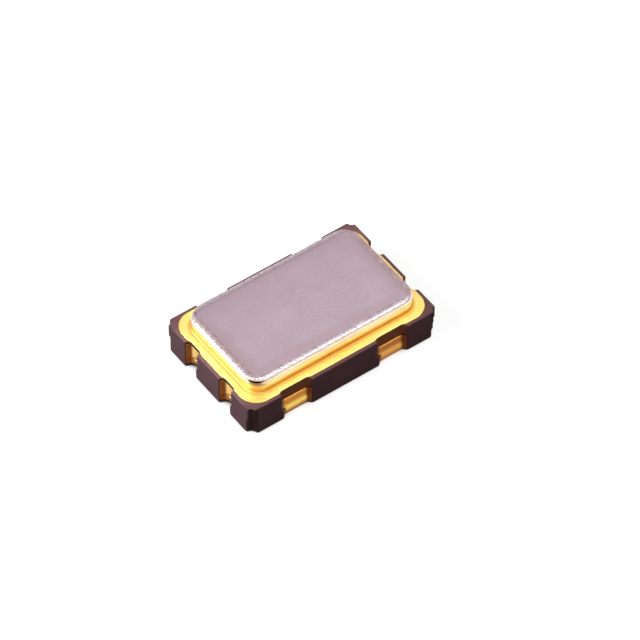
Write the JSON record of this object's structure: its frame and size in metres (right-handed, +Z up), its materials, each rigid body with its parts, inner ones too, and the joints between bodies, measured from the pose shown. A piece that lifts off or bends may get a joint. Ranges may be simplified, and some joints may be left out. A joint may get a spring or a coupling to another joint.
{
  "type": "crystal oscillator",
  "caption": "Flat rectangular ceramic package with castellated sides, gold-plated seal ring and seam-welded metal lid, holding a quartz blank and chip that give a clock signal.",
  "frame": {"origin": "under the middle of the package, in the plane of its solder pads", "axes": "+X along the package's length, +Y across it, +Z up through the lid; the first terminal, whose pad has a cut corner, is at -X, -Y"},
  "size_m": [0.005, 0.0032, 0.0012],
  "materials": {
    "ceramic": "matte black-brown co-fired alumina, fine grain, punched edges",
    "gold_plate": "matte gold plating over nickel on sintered tungsten",
    "braze_alloy": "gold-flashed silver-copper braze, smooth and darker at its foot",
    "lid_metal": "satin nickel-plated sheet with a rippled weld track round its border",
    "silicon": "polished silicon die",
    "silver_adhesive": "cured silver-filled adhesive",
    "pad_aluminium": "bare aluminium bond pads",
    "electrode_metal": "thin evaporated silver film",
    "quartz": "lapped and etched quartz",
    "gold_wire": "bright drawn gold wire"
  },
  "bodies": {
    "root": {"ceramic_base": "ceramic", "terminal_enable": "gold_plate", "terminal_ground": "gold_plate", "terminal_output": "gold_plate", "terminal_supply": "gold_plate", "test_terminal_1": "gold_plate", "test_terminal_2": "gold_plate", "test_terminal_3": "gold_plate", "test_terminal_4": "gold_plate", "seal_band": "gold_plate", "braze_joint": "braze_alloy", "seal_ring": "gold_plate", "lid": "lid_metal", "chip_pad": "gold_plate", "chip_adhesive": "silver_adhesive", "oscillator_chip": "silicon", "chip_bond_pads": "pad_aluminium", "bond_fingers": "gold_plate", "wire_enable": "gold_wire", "wire_ground": "gold_wire", "wire_output": "gold_wire", "wire_supply": "gold_wire", "wire_crystal_1": "gold_wire", "wire_crystal_2": "gold_wire", "crystal_pad_1": "gold_plate", "crystal_pad_2": "gold_plate", "adhesive_dot_1": "silver_adhesive", "adhesive_dot_2": "silver_adhesive", "crystal_blank": "quartz", "electrode_top": "electrode_metal", "electrode_bottom": "electrode_metal"}
  },
  "joints": []
}
